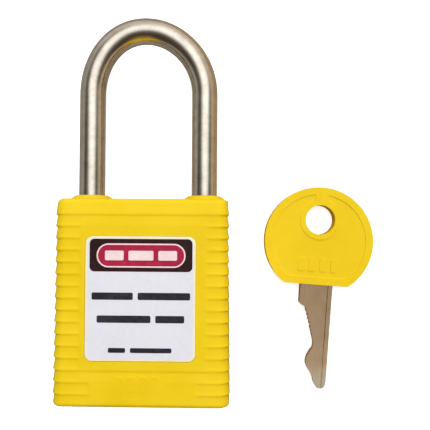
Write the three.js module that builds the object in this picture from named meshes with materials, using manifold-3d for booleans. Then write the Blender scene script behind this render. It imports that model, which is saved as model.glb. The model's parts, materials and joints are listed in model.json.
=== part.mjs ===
// A safety (lockout) padlock lying on its back, with its key beside it. Millimetres.
// X runs across the body, Y from the foot of the body towards the shackle's crown, Z out of the front face.
// The flat back lies on Z = 0, and X = Y = 0 is the middle of the body.
import * as THREE from "three";
import { mergeVertices } from "three/addons/utils/BufferGeometryUtils.js";
import Module from "manifold-3d";

const GAP = 0.3; // clearance between neighbouring pieces
const CUT = 1; // how far a cutter runs past the face it opens

// Body
const BODY_WIDTH = 37.2;
const BODY_HEIGHT = 43.6;
const BODY_DEPTH = 20;
const BODY_TAPER = 0.0093; // half the width gained for each millimetre down the body
const TOP = BODY_HEIGHT / 2;
const FOOT = -BODY_HEIGHT / 2;
const MIDDLE_Z = BODY_DEPTH / 2;
const CORNER_RADIUS = 2.6;
const TOP_ROUNDING = 1;
const FOOT_ROUNDING = 0.8;

// Grip ribs: each leans out towards the foot and ends in a step. The first and the fourteenth step cross
// the whole face, the others only wrap round the sides and leave a plain field between them.
const RIB_COUNT = 16;
const RIB_PITCH = 2.5;
const FIRST_STEP_Y = TOP - 3.5;
const STEP_DEPTH = 0.35;
const STEP_HALF_HEIGHT = 0.12;
const FULL_STEPS = [0, 13];
const FOOT_STEPS = [14, 15];
const FIELD_X = 0.55; // middle of the plain field; the steps start this far from it:
const SIDE_STEP_START = 13.55;
const FOOT_STEP_START = 11.55;
const STEP_FADE = 0.8;

// Label, set in a shallow recess of the front face
const LABEL_WIDTH = 23.1;
const LABEL_HEIGHT = 26;
const LABEL_X = 0;
const LABEL_Y = 0.9;
const LABEL_CORNER = 1.6;
const LABEL_RECESS = 0.5;
const LABEL_THICKNESS = 0.5;
const LABEL_CLEARANCE = 0.1;

// Shackle
const ROD_RADIUS = 2.9;
const LEG_X = 12.8;
const BEND_Y = 45.9;
const BEND_RISE = 14.6;
const BEND_LEAN = -0.7; // how far the crown stands off the middle of the two legs
const TOE_END = 9.8;
const HEEL_END = -10.2;
const LEG_CHAMFER = 0.6;
const BOSS_HEIGHT = 1.05;
const BOSS_TOP_RADIUS = 3.5;
const BOSS_FOOT_RADIUS = 5.2;

// Opening motion: a quarter turn of the plug draws the bolts in and lets the shackle rise
const SHACKLE_LIFT = 13.4;
const BOLT_TRAVEL = 3;
const NOTCH_DEPTH = 1.2;

// Locking bolts and cam
const BOLT_TOP = 18.8;
const BOLT_BOTTOM = 15.2;
const BOLT_DEPTH = 4.4;
const BOLT_INNER_X = 6.6;
const BOLT_TIP_X = LEG_X - ROD_RADIUS + NOTCH_DEPTH - GAP;
const CAM_REACH = BOLT_INNER_X - GAP;
const CAM_TOP = 19;
const CAM_BOTTOM = 15;
const CAM_SHAFT_RADIUS = 2.4;
const TONGUE_WIDTH = 4.4;
const TONGUE_THICKNESS = 1.5;
const TONGUE_END = 1.5;

// Lock cylinder on the body's axis
const BORE_RADIUS = 7.3;
const BORE_TOP = 19.3;
const HOUSING_RADIUS = 7;
const HOUSING_FOOT = -19.3;
const HOUSING_TOP = 1;
const PLUG_RADIUS = 4.6;
const PLUG_NOSE_RADIUS = 3.9;
const PLUG_FACE = -21.4;
const PLUG_SHOULDER = -19;
const PLUG_TOP = 1.3;
const PLUG_TAIL_RADIUS = 3.2;
const PLUG_TAIL_TOP = 2.9;
const KEYWAY_WIDTH = 2.6;
const KEYWAY_LOW_X = -4.1;
const KEYWAY_HIGH_X = 2.4;
const KEYWAY_END = 0;
const CLIP_BOTTOM = 1.6;
const CLIP_TOP = 2.4;
const CLIP_RADIUS = 5.6;
const SPACER_BOTTOM = 3.3;
const SPACER_TOP = 14.7;

// Pin stacks, which stand along X above the keyway
const PIN_COUNT = 5;
const PIN_PITCH = 3.4;
const FIRST_PIN_Y = -16.4;
const PIN_RADIUS = 1.1;
const PIN_HOLE_RADIUS = 1.4;
const KEY_PIN_TIPS = [0.9, 1.5, 0.6, 1.8, 1.2];
const KEY_PIN_TOP = 4.3;
const DRIVER_BOTTOM = 5.1;
const DRIVER_TOP = 8;
const CHAMBER_TOP = 12;
const RIDGE_TOP = 13.2;
const RIDGE_WIDTH = 6;
const COVER_THICKNESS = 0.7;
const COVER_WIDTH = 3.6;

// Foot cap
const CAP_WIDTH = 30;
const CAP_DEPTH = 15.4;
const CAP_THICKNESS = 1.9;
const CAP_CORNER = 3;
const CAP_SCREW_X = 10.5;
const CAP_SCREW_Z = 5.2; // from the body's middle plane
const CAP_SCREW_RADIUS = 1;
const CAP_SCREW_HEAD_RADIUS = 1.6;
const CAP_SCREW_HEAD = 0.9;
const CAP_SCREW_TIP = -14;
const CAP_SCREW_SLOT = 0.5;

// Heel leg: its bore, spring and stop pin
const LEG_BORE_RADIUS = ROD_RADIUS + GAP;
const HEEL_BORE_FLOOR = -17.8;
const STOP_PIN_Y = 6.5;
const STOP_PIN_RADIUS = 1;
const STOP_SLOT_DEPTH = 1.4;
const SHACKLE_SPRING_TURNS = 8;
const SHACKLE_SPRING_RADIUS = 2.3;
const SHACKLE_WIRE_RADIUS = 0.25;
const PIN_SPRING_TURNS = 4;
const PIN_SPRING_RADIUS = 0.85;
const PIN_WIRE_RADIUS = 0.16;

// Key, lying flat beside the body
const KEY_X = 40.06;
const KEY_Y = 12.57;
const KEY_TURN = THREE.MathUtils.degToRad(-4);
const KEY_HEAD_RADIUS = 12.9;
const KEY_HEAD_THICKNESS = 3.8;
const KEY_HEAD_CHORD = 10.4;
const KEY_HEAD_CORNER = 1.2;
const KEY_RIM_WIDTH = 1.9;
const KEY_RECESS = 0.4;
const KEY_HOLE_Y = 5.1;
const KEY_HOLE_RADIUS = 3.5;
const KEY_HOLE_RIM = 1.3;
const BLADE_THICKNESS = 2;
const BLADE_CLEARANCE = 0.15;
const BLADE_BACK_X = 4.2;
const BLADE_BOW_WIDTH = 7.7;
const BLADE_SHOULDER_Y = -14.6;
const BLADE_TIP_Y = -35.3;
const BLADE_TOP_Y = -5;
const BLADE_TEETH = 4;
const FIRST_TOOTH = [-1.65, -17];
const TOOTH_SHIFT = [0.3, -0.95];
const BLADE_GROOVE_X = 2.7;
const BLADE_GROOVE_WIDTH = 1;
const BLADE_GROOVE_DEPTH = 0.5;

const wasm = await Module();
wasm.setup();

const padlock = new THREE.Group();
padlock.name = "safety_padlock";

// ---- shape helpers ----

function solidFrom(geometry) {
  const bare = geometry.clone();
  bare.deleteAttribute("normal");
  bare.deleteAttribute("uv");
  const merged = mergeVertices(bare, 1e-5);
  const mesh = new wasm.Mesh({
    numProp: 3,
    vertProperties: new Float32Array(merged.attributes.position.array),
    triVerts: new Uint32Array(merged.index.array),
  });
  return new wasm.Manifold(mesh);
}

function geometryFrom(solid) {
  const mesh = solid.getMesh();
  const geometry = new THREE.BufferGeometry();
  geometry.setAttribute("position", new THREE.BufferAttribute(mesh.vertProperties, 3));
  geometry.setIndex(new THREE.BufferAttribute(mesh.triVerts, 1));
  geometry.computeVertexNormals();
  return geometry;
}

// A block given by its two opposite corners
function block(low, high) {
  const size = high.map((value, i) => value - low[i]);
  const geometry = new THREE.BoxGeometry(...size);
  geometry.translate(...low.map((value, i) => value + size[i] / 2));
  return solidFrom(geometry);
}

// A solid of revolution about the line through (x, z) along Y; outline holds [radius, y] pairs, upwards
function turned(outline, x, z, segments = 32) {
  const points = outline.map(([radius, y]) => new THREE.Vector2(radius, y));
  points.unshift(new THREE.Vector2(0, outline[0][1]));
  points.push(new THREE.Vector2(0, outline.at(-1)[1]));
  const geometry = new THREE.LatheGeometry(points, segments);
  geometry.translate(x, 0, z);
  return solidFrom(geometry);
}

function rodY(radius, bottom, top, x = 0, z = MIDDLE_Z, segments = 32) {
  return turned([[radius, bottom], [radius, top]], x, z, segments);
}

// The same solid of revolution with its axis along X, at height y of the body
function turnedX(outline, y, segments = 16) {
  const points = outline.map(([radius, x]) => new THREE.Vector2(radius, x));
  points.unshift(new THREE.Vector2(0, outline[0][1]));
  points.push(new THREE.Vector2(0, outline.at(-1)[1]));
  const geometry = new THREE.LatheGeometry(points, segments);
  geometry.rotateZ(-Math.PI / 2);
  geometry.translate(0, y, MIDDLE_Z);
  return solidFrom(geometry);
}

function rodX(radius, start, end, y, segments = 16) {
  return turnedX([[radius, start], [radius, end]], y, segments);
}

// A flat outline in X and Y, given a thickness along Z
function plate(shape, low, high) {
  const geometry = new THREE.ExtrudeGeometry(shape, {
    depth: high - low,
    bevelEnabled: false,
    curveSegments: 6,
  });
  geometry.translate(0, 0, low);
  return solidFrom(geometry);
}

// A flat outline in X and Z, given a thickness along Y
function slabY(shape, bottom, top) {
  const geometry = new THREE.ExtrudeGeometry(shape, {
    depth: top - bottom,
    bevelEnabled: false,
  });
  geometry.rotateX(Math.PI / 2);
  geometry.translate(0, top, 0);
  return solidFrom(geometry);
}

// Points along an arc, both ends included
function arc(x, y, radius, from, to, steps) {
  return Array.from({ length: steps + 1 }, (_, i) => {
    const angle = from + ((to - from) * i) / steps;
    return new THREE.Vector2(x + radius * Math.cos(angle), y + radius * Math.sin(angle));
  });
}

function disc(radius, x, y, steps) {
  return new THREE.Shape(arc(x, y, radius, 0, 2 * Math.PI, steps).slice(0, steps));
}

function roundedRectangle(width, height, radius, x, y) {
  const dx = width / 2 - radius;
  const dy = height / 2 - radius;
  const quarter = Math.PI / 2;
  const centres = [[dx, dy], [-dx, dy], [-dx, -dy], [dx, -dy]];
  const points = centres.flatMap(([cx, cy], i) => {
    return arc(x + cx, y + cy, radius, i * quarter, (i + 1) * quarter, 4);
  });
  return new THREE.Shape(points);
}

// A closed skin through rings that hold the same number of points, flat at both ends
function loft(rings) {
  const count = rings[0].length;
  const positions = rings.flat().flatMap((point) => [point.x, point.y, point.z]);
  const faces = [];
  for (let row = 0; row + 1 < rings.length; row += 1) {
    for (let i = 0; i < count; i += 1) {
      const next = (i + 1) % count;
      const a = row * count + i;
      const b = row * count + next;
      faces.push(a, b, a + count, b, b + count, a + count);
    }
  }
  const last = (rings.length - 1) * count;
  for (let i = 1; i + 1 < count; i += 1) {
    faces.push(0, i + 1, i, last, last + i, last + i + 1);
  }
  const geometry = new THREE.BufferGeometry();
  geometry.setAttribute("position", new THREE.Float32BufferAttribute(positions, 3));
  geometry.setIndex(faces);
  return solidFrom(geometry);
}

// A ring of points round a centre, in the plane square to the direction given
function ringAround(centre, direction, radius, sides) {
  const across = new THREE.Vector3(0, 0, 1);
  const side = new THREE.Vector3().crossVectors(direction, across).normalize();
  const up = new THREE.Vector3().crossVectors(side, direction).normalize();
  return Array.from({ length: sides }, (_, i) => {
    const angle = (2 * Math.PI * i) / sides;
    return centre
      .clone()
      .addScaledVector(side, radius * Math.cos(angle))
      .addScaledVector(up, radius * Math.sin(angle));
  });
}

// A coil spring along Y, from bottom to top
function coil(bottom, top, turns, radius, wire, stepsPerTurn, sides) {
  const steps = turns * stepsPerTurn;
  const rise = top - bottom - 2 * wire;
  const rings = [];
  for (let step = 0; step <= steps; step += 1) {
    const angle = (2 * Math.PI * step) / stepsPerTurn;
    const outward = new THREE.Vector3(Math.cos(angle), 0, Math.sin(angle));
    const up = new THREE.Vector3(0, 1, 0);
    const centre = outward.clone().multiplyScalar(radius);
    centre.y = bottom + wire + (rise * step) / steps;
    const ring = Array.from({ length: sides }, (_, i) => {
      const turn = (2 * Math.PI * i) / sides;
      return centre
        .clone()
        .addScaledVector(outward, wire * Math.cos(turn))
        .addScaledVector(up, wire * Math.sin(turn));
    });
    rings.push(ring);
  }
  return loft(rings);
}

// ---- materials ----

function yellowPlastic() {
  return new THREE.MeshStandardMaterial({ color: 0xfbd91d, roughness: 0.42, metalness: 0 });
}

function brass() {
  return new THREE.MeshStandardMaterial({ color: 0xb9975b, roughness: 0.38, metalness: 1 });
}

function steel() {
  return new THREE.MeshStandardMaterial({ color: 0xa9a49b, roughness: 0.18, metalness: 1 });
}

function springSteel() {
  return new THREE.MeshStandardMaterial({ color: 0x7d7f82, roughness: 0.3, metalness: 1 });
}

function nickelSilver() {
  return new THREE.MeshStandardMaterial({ color: 0xb49a7c, roughness: 0.3, metalness: 1 });
}

function labelFilm() {
  return new THREE.MeshStandardMaterial({ color: 0xe7e6f0, roughness: 0.45, metalness: 0 });
}

function add(name, solid, material) {
  const mesh = new THREE.Mesh(geometryFrom(solid), material);
  mesh.name = name;
  padlock.add(mesh);
}

// ---- body ----

// How far the skin is drawn in at this height by the roundings of its top and foot
function endInset(y) {
  const top = Math.max(0, y - (TOP - TOP_ROUNDING));
  const foot = Math.max(0, FOOT + FOOT_ROUNDING - y);
  const drawnIn = (past, radius) => radius - Math.sqrt(Math.max(0, radius ** 2 - past ** 2));
  return drawnIn(top, TOP_ROUNDING) + drawnIn(foot, FOOT_ROUNDING);
}

// Each row of the skin: its height, how far it is drawn in there, and where along X that begins
function bodyRows() {
  const lean = STEP_DEPTH / (RIB_PITCH - 2 * STEP_HALF_HEIGHT);
  const firstLip = FIRST_STEP_Y + STEP_HALF_HEIGHT;
  const rows = [];
  for (const share of [1, 0.85, 0.5, 0]) {
    const y = TOP - TOP_ROUNDING * (1 - share);
    rows.push({ y, depth: lean * (y - firstLip), start: 0 });
  }
  for (let step = 0; step < RIB_COUNT; step += 1) {
    const y = FIRST_STEP_Y - step * RIB_PITCH;
    let start = SIDE_STEP_START;
    if (FULL_STEPS.includes(step)) {
      start = 0;
    } else if (FOOT_STEPS.includes(step)) {
      start = FOOT_STEP_START;
    }
    rows.push({ y: y + STEP_HALF_HEIGHT, depth: 0, start });
    rows.push({ y: y - STEP_HALF_HEIGHT, depth: STEP_DEPTH, start });
  }
  for (const share of [0, 0.5, 0.85, 1]) {
    rows.push({ y: FOOT + FOOT_ROUNDING * (1 - share), depth: 0, start: BODY_WIDTH });
  }
  return rows;
}

// The outline of one row in X and Z; only the points beyond its start are drawn in
function bodyRing({ y, depth, start }) {
  const half = BODY_WIDTH / 2 - BODY_TAPER * y;
  const starts = [SIDE_STEP_START, FOOT_STEP_START];
  const faceXs = starts.flatMap((x) => [x, x - STEP_FADE]);
  const points = [];
  const place = (x, z, normalX, normalZ) => {
    const inset = endInset(y) + (Math.abs(x - FIELD_X) >= start - 1e-6 ? depth : 0);
    points.push(new THREE.Vector3(x - inset * normalX, y, z - inset * normalZ));
  };
  const corner = (signX, signZ, from) => {
    const centreX = signX * (half - CORNER_RADIUS);
    const centreZ = MIDDLE_Z + signZ * (MIDDLE_Z - CORNER_RADIUS);
    for (let i = 0; i <= 3; i += 1) {
      const angle = from + (Math.PI / 6) * i;
      const [c, s] = [Math.cos(angle), Math.sin(angle)];
      place(centreX + CORNER_RADIUS * c, centreZ + CORNER_RADIUS * s, c, s);
    }
  };
  corner(1, 1, 0);
  faceXs.forEach((x) => place(FIELD_X + x, BODY_DEPTH, 0, 1));
  [...faceXs].reverse().forEach((x) => place(FIELD_X - x, BODY_DEPTH, 0, 1));
  corner(-1, 1, Math.PI / 2);
  corner(-1, -1, Math.PI);
  faceXs.forEach((x) => place(FIELD_X - x, 0, 0, -1));
  [...faceXs].reverse().forEach((x) => place(FIELD_X + x, 0, 0, -1));
  corner(1, -1, Math.PI * 1.5);
  return points;
}

// The low cone that the plastic raises round each leg
function boss(x) {
  const outline = [[BOSS_FOOT_RADIUS, TOP - CUT], [BOSS_FOOT_RADIUS, TOP]];
  for (const share of [0.3, 0.7, 1]) {
    const radius = BOSS_FOOT_RADIUS + (BOSS_TOP_RADIUS - BOSS_FOOT_RADIUS) * share;
    outline.push([radius, TOP + BOSS_HEIGHT * Math.sin((share * Math.PI) / 2)]);
  }
  return turned(outline, x, MIDDLE_Z);
}

function labelOutline(margin) {
  const width = LABEL_WIDTH + 2 * margin;
  const height = LABEL_HEIGHT + 2 * margin;
  return roundedRectangle(width, height, LABEL_CORNER + margin, LABEL_X, LABEL_Y);
}

function capOutline(margin) {
  const width = CAP_WIDTH + 2 * margin;
  return roundedRectangle(width, CAP_DEPTH + 2 * margin, CAP_CORNER + margin, 0, MIDDLE_Z);
}

function bodyShell() {
  const ridge = RIDGE_WIDTH / 2 + GAP;
  const bolt = BOLT_DEPTH / 2 + GAP;
  const cutters = [
    plate(labelOutline(LABEL_CLEARANCE), BODY_DEPTH - LABEL_RECESS, BODY_DEPTH + CUT),
    rodY(BORE_RADIUS, FOOT - CUT, BORE_TOP, 0, MIDDLE_Z, 48),
    block(
      [0, FOOT - CUT, MIDDLE_Z - ridge],
      [RIDGE_TOP + GAP, HOUSING_TOP + GAP, MIDDLE_Z + ridge],
    ),
    block(
      [-LEG_X, BOLT_BOTTOM - GAP, MIDDLE_Z - bolt],
      [LEG_X, BOLT_TOP + GAP, MIDDLE_Z + bolt],
    ),
    slabY(capOutline(GAP), FOOT - CUT, FOOT + CAP_THICKNESS + GAP),
    rodY(LEG_BORE_RADIUS, HEEL_BORE_FLOOR, TOP + BOSS_HEIGHT + CUT, -LEG_X),
    rodY(LEG_BORE_RADIUS, TOE_END - GAP, TOP + BOSS_HEIGHT + CUT, LEG_X),
    rodX(STOP_PIN_RADIUS + GAP, -LEG_X, 0, STOP_PIN_Y),
    ...[1, -1].map((side) => screwRod(side, CAP_SCREW_RADIUS + GAP, FOOT, CAP_SCREW_TIP + GAP)),
  ];
  let body = loft(bodyRows().map(bodyRing)).add(boss(-LEG_X)).add(boss(LEG_X));
  for (const cutter of cutters) {
    body = body.subtract(cutter);
  }
  return body;
}

function labelPlate() {
  const bottom = BODY_DEPTH - LABEL_RECESS + LABEL_CLEARANCE;
  return plate(labelOutline(0), bottom, bottom + LABEL_THICKNESS);
}

function footCap() {
  const top = FOOT + CAP_THICKNESS;
  let cap = slabY(capOutline(0), FOOT, top)
    .subtract(rodY(PLUG_NOSE_RADIUS + GAP, FOOT - CUT, top + CUT));
  for (const side of [1, -1]) {
    cap = cap
      .subtract(screwRod(side, CAP_SCREW_HEAD_RADIUS + GAP, FOOT - CUT, FOOT + CAP_SCREW_HEAD))
      .subtract(screwRod(side, CAP_SCREW_RADIUS + GAP, FOOT, top + CUT));
  }
  return cap;
}

// The two cap screws stand at opposite corners of the cap
function screwRod(side, radius, bottom, top) {
  return rodY(radius, bottom, top, side * CAP_SCREW_X, MIDDLE_Z + side * CAP_SCREW_Z, 20);
}

function capScrew(side) {
  const headTop = FOOT + CAP_SCREW_HEAD - GAP / 2;
  const x = side * CAP_SCREW_X;
  const slot = block(
    [x - BODY_WIDTH, FOOT - CUT, MIDDLE_Z + side * CAP_SCREW_Z - CAP_SCREW_SLOT / 2],
    [x + BODY_WIDTH, FOOT + CAP_SCREW_SLOT, MIDDLE_Z + side * CAP_SCREW_Z + CAP_SCREW_SLOT / 2],
  );
  return screwRod(side, CAP_SCREW_HEAD_RADIUS, FOOT + 0.1, headTop)
    .add(screwRod(side, CAP_SCREW_RADIUS, headTop - 0.1, CAP_SCREW_TIP))
    .subtract(slot);
}

// ---- shackle ----

// The rod runs up the heel leg, round half an ellipse and down the toe leg
function shackleRod() {
  const rings = [];
  const up = new THREE.Vector3(0, 1, 0);
  const ring = (x, y, direction, radius) => {
    rings.push(ringAround(new THREE.Vector3(x, y, MIDDLE_Z), direction, radius, 24));
  };
  ring(-LEG_X, HEEL_END, up, ROD_RADIUS - LEG_CHAMFER);
  ring(-LEG_X, HEEL_END + LEG_CHAMFER, up, ROD_RADIUS);
  const steps = 22;
  for (let step = 0; step <= steps; step += 1) {
    const angle = Math.PI * (1 - step / steps);
    const [c, s] = [Math.cos(angle), Math.sin(angle)];
    const direction = new THREE.Vector3(LEG_X * s - 2 * BEND_LEAN * s * c, -BEND_RISE * c, 0);
    ring(LEG_X * c + BEND_LEAN * s * s, BEND_Y + BEND_RISE * s, direction.normalize(), ROD_RADIUS);
  }
  ring(LEG_X, TOE_END + LEG_CHAMFER, up.clone().negate(), ROD_RADIUS);
  ring(LEG_X, TOE_END, up.clone().negate(), ROD_RADIUS - LEG_CHAMFER);
  return loft(rings.reverse());
}

// The notch on the inner side of a leg. Its lower flank slopes as the bolt moves past the rising leg.
function boltNotch(side) {
  const floor = LEG_X - ROD_RADIUS + NOTCH_DEPTH;
  const outside = floor - NOTCH_DEPTH - CUT;
  const flankTop = BOLT_BOTTOM - GAP;
  const flankDrop = (floor - outside) * (SHACKLE_LIFT / BOLT_TRAVEL);
  const shape = new THREE.Shape();
  shape.moveTo(side * outside, BOLT_TOP + GAP);
  shape.lineTo(side * outside, flankTop - flankDrop);
  shape.lineTo(side * floor, flankTop);
  shape.lineTo(side * floor, BOLT_TOP + GAP);
  shape.closePath();
  return plate(shape, MIDDLE_Z - ROD_RADIUS - CUT, MIDDLE_Z + ROD_RADIUS + CUT);
}

// The slot that the stop pin runs in, ending in a neck all round the leg where the raised shackle can turn
function stopSlot() {
  const half = STOP_PIN_RADIUS + GAP;
  const floor = -LEG_X + ROD_RADIUS - STOP_SLOT_DEPTH;
  const lowest = STOP_PIN_Y - SHACKLE_LIFT - half;
  const slot = block(
    [floor, lowest, MIDDLE_Z - half],
    [floor + STOP_SLOT_DEPTH + CUT, STOP_PIN_Y + half, MIDDLE_Z + half],
  );
  const sleeve = rodY(ROD_RADIUS + CUT, lowest, lowest + 2 * half, -LEG_X);
  const core = rodY(ROD_RADIUS - STOP_SLOT_DEPTH, lowest - CUT, lowest + 2 * half + CUT, -LEG_X);
  return slot.add(sleeve.subtract(core));
}

function shackle() {
  return shackleRod().subtract(boltNotch(1)).subtract(boltNotch(-1)).subtract(stopSlot());
}

// ---- locking bolts and cam ----

function lockingBolt(side) {
  const ease = 0.4;
  const shape = new THREE.Shape();
  shape.moveTo(side * BOLT_INNER_X, BOLT_BOTTOM);
  shape.lineTo(side * (BOLT_TIP_X - ease), BOLT_BOTTOM);
  shape.lineTo(side * BOLT_TIP_X, BOLT_BOTTOM + ease);
  shape.lineTo(side * BOLT_TIP_X, BOLT_TOP - ease);
  shape.lineTo(side * (BOLT_TIP_X - ease), BOLT_TOP);
  shape.lineTo(side * BOLT_INNER_X, BOLT_TOP);
  shape.closePath();
  return plate(shape, MIDDLE_Z - BOLT_DEPTH / 2, MIDDLE_Z + BOLT_DEPTH / 2);
}

// A cam whose reach along X falls evenly with each degree it turns, the same on both sides
function camOutline() {
  const fall = BOLT_TRAVEL / (Math.PI / 2);
  const steps = 12;
  const shape = new THREE.Shape();
  for (const side of [1, -1]) {
    for (let step = 0; step <= steps; step += 1) {
      const angle = (Math.PI / 2) * (step / steps);
      const reach = CAM_REACH - fall * angle;
      const x = side * (reach * Math.cos(angle) + fall * Math.sin(angle));
      const z = MIDDLE_Z + side * (reach * Math.sin(angle) - fall * Math.cos(angle));
      if (shape.curves.length === 0 && step === 0) {
        shape.moveTo(x, z);
      }
      shape.lineTo(x, z);
    }
  }
  shape.closePath();
  return shape;
}

function cam() {
  const tongue = block(
    [-TONGUE_WIDTH / 2, TONGUE_END, MIDDLE_Z - TONGUE_THICKNESS / 2],
    [TONGUE_WIDTH / 2, SPACER_BOTTOM, MIDDLE_Z + TONGUE_THICKNESS / 2],
  );
  return slabY(camOutline(), CAM_BOTTOM, CAM_TOP)
    .add(rodY(CAM_SHAFT_RADIUS, SPACER_BOTTOM - 0.1, CAM_BOTTOM + 0.1, 0, MIDDLE_Z, 24))
    .add(tongue);
}

// ---- lock cylinder ----

function pinHoleY(index) {
  return FIRST_PIN_Y + index * PIN_PITCH;
}

function cylinderHousing() {
  const half = RIDGE_WIDTH / 2;
  let housing = rodY(HOUSING_RADIUS, HOUSING_FOOT, HOUSING_TOP, 0, MIDDLE_Z, 48)
    .add(block([0, HOUSING_FOOT, MIDDLE_Z - half], [RIDGE_TOP, HOUSING_TOP, MIDDLE_Z + half]))
    .subtract(rodY(PLUG_RADIUS + GAP, HOUSING_FOOT - CUT, HOUSING_TOP + CUT, 0, MIDDLE_Z, 48));
  for (let pin = 0; pin < PIN_COUNT; pin += 1) {
    housing = housing.subtract(rodX(PIN_HOLE_RADIUS, 0, CHAMBER_TOP, pinHoleY(pin)));
  }
  const coverSlot = block(
    [CHAMBER_TOP - 0.1, HOUSING_FOOT - CUT, MIDDLE_Z - COVER_WIDTH / 2 - GAP],
    [RIDGE_TOP + CUT, HOUSING_TOP - 1, MIDDLE_Z + COVER_WIDTH / 2 + GAP],
  );
  return housing.subtract(coverSlot);
}

function chamberCover() {
  return block(
    [CHAMBER_TOP + 0.2, HOUSING_FOOT, MIDDLE_Z - COVER_WIDTH / 2],
    [CHAMBER_TOP + 0.2 + COVER_THICKNESS, HOUSING_TOP - 1 - GAP, MIDDLE_Z + COVER_WIDTH / 2],
  );
}

// The plug. Its keyway opens on its face and along its -X side.
function plug() {
  const outline = [
    [PLUG_NOSE_RADIUS, PLUG_FACE],
    [PLUG_NOSE_RADIUS, PLUG_SHOULDER],
    [PLUG_RADIUS, PLUG_SHOULDER],
    [PLUG_RADIUS, PLUG_TOP],
    [PLUG_TAIL_RADIUS, PLUG_TOP],
    [PLUG_TAIL_RADIUS, PLUG_TAIL_TOP],
  ];
  const keyway = block(
    [KEYWAY_LOW_X, PLUG_FACE - CUT, MIDDLE_Z - KEYWAY_WIDTH / 2],
    [KEYWAY_HIGH_X, KEYWAY_END, MIDDLE_Z + KEYWAY_WIDTH / 2],
  );
  const tongueSlot = block(
    [-PLUG_TAIL_RADIUS - CUT, TONGUE_END - GAP, MIDDLE_Z - TONGUE_THICKNESS / 2 - GAP],
    [PLUG_TAIL_RADIUS + CUT, PLUG_TAIL_TOP + CUT, MIDDLE_Z + TONGUE_THICKNESS / 2 + GAP],
  );
  let solid = turned(outline, 0, MIDDLE_Z, 40).subtract(keyway).subtract(tongueSlot);
  for (let pin = 0; pin < PIN_COUNT; pin += 1) {
    const hole = rodX(PIN_HOLE_RADIUS, KEY_PIN_TIPS[pin] - 1.2, PLUG_RADIUS + CUT, pinHoleY(pin));
    solid = solid.subtract(hole);
  }
  return solid;
}

function plugClip() {
  const inner = PLUG_TAIL_RADIUS + 0.2;
  const mouth = block(
    [-inner * 0.7, CLIP_BOTTOM - CUT, MIDDLE_Z],
    [inner * 0.7, CLIP_TOP + CUT, MIDDLE_Z + CLIP_RADIUS + CUT],
  );
  return rodY(CLIP_RADIUS, CLIP_BOTTOM, CLIP_TOP)
    .subtract(rodY(inner, CLIP_BOTTOM - CUT, CLIP_TOP + CUT))
    .subtract(mouth);
}

function spacer() {
  return rodY(HOUSING_RADIUS, SPACER_BOTTOM, SPACER_TOP, 0, MIDDLE_Z, 40)
    .subtract(rodY(CAM_SHAFT_RADIUS + GAP, SPACER_BOTTOM - CUT, SPACER_TOP + CUT));
}

function keyPin(index) {
  const tip = KEY_PIN_TIPS[index];
  const outline = [
    [0.35, tip],
    [PIN_RADIUS, tip + 0.75],
    [PIN_RADIUS, KEY_PIN_TOP - 0.2],
    [PIN_RADIUS - 0.2, KEY_PIN_TOP],
  ];
  return turnedX(outline, pinHoleY(index));
}

function driverPin(index) {
  const outline = [
    [PIN_RADIUS - 0.2, DRIVER_BOTTOM],
    [PIN_RADIUS, DRIVER_BOTTOM + 0.2],
    [PIN_RADIUS, DRIVER_TOP],
  ];
  return turnedX(outline, pinHoleY(index));
}

function pinSpring(index) {
  const spring = coil(
    DRIVER_TOP + 0.1,
    CHAMBER_TOP,
    PIN_SPRING_TURNS,
    PIN_SPRING_RADIUS,
    PIN_WIRE_RADIUS,
    8,
    4,
  );
  return spring.rotate([0, 0, -90]).translate([0, pinHoleY(index), MIDDLE_Z]);
}

// ---- heel leg's stop pin and spring ----

function stopPin() {
  const tip = -LEG_X + ROD_RADIUS - STOP_SLOT_DEPTH + GAP;
  const seat = -HOUSING_RADIUS - 2 * GAP;
  return rodX(STOP_PIN_RADIUS, tip, seat, STOP_PIN_Y, 20);
}

function shackleSpring() {
  const spring = coil(
    HEEL_BORE_FLOOR + 0.1,
    HEEL_END - 0.1,
    SHACKLE_SPRING_TURNS,
    SHACKLE_SPRING_RADIUS,
    SHACKLE_WIRE_RADIUS,
    10,
    5,
  );
  return spring.translate([-LEG_X, 0, MIDDLE_Z]);
}

// ---- key ----

// The head's outline: most of a circle, closed by a chord with rounded ends
function headOutline(radius, chord, corner) {
  const inner = radius - corner;
  const cornerY = -chord + corner;
  const cornerX = Math.sqrt(inner ** 2 - cornerY ** 2);
  const meets = Math.atan2(cornerY, cornerX);
  return new THREE.Shape([
    ...arc(0, 0, radius, meets, Math.PI - meets, 40),
    ...arc(-cornerX, cornerY, corner, Math.PI - meets, Math.PI * 1.5, 3).slice(1),
    ...arc(cornerX, cornerY, corner, Math.PI * 1.5, Math.PI * 2 + meets, 3).slice(0, -1),
  ]);
}

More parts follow.
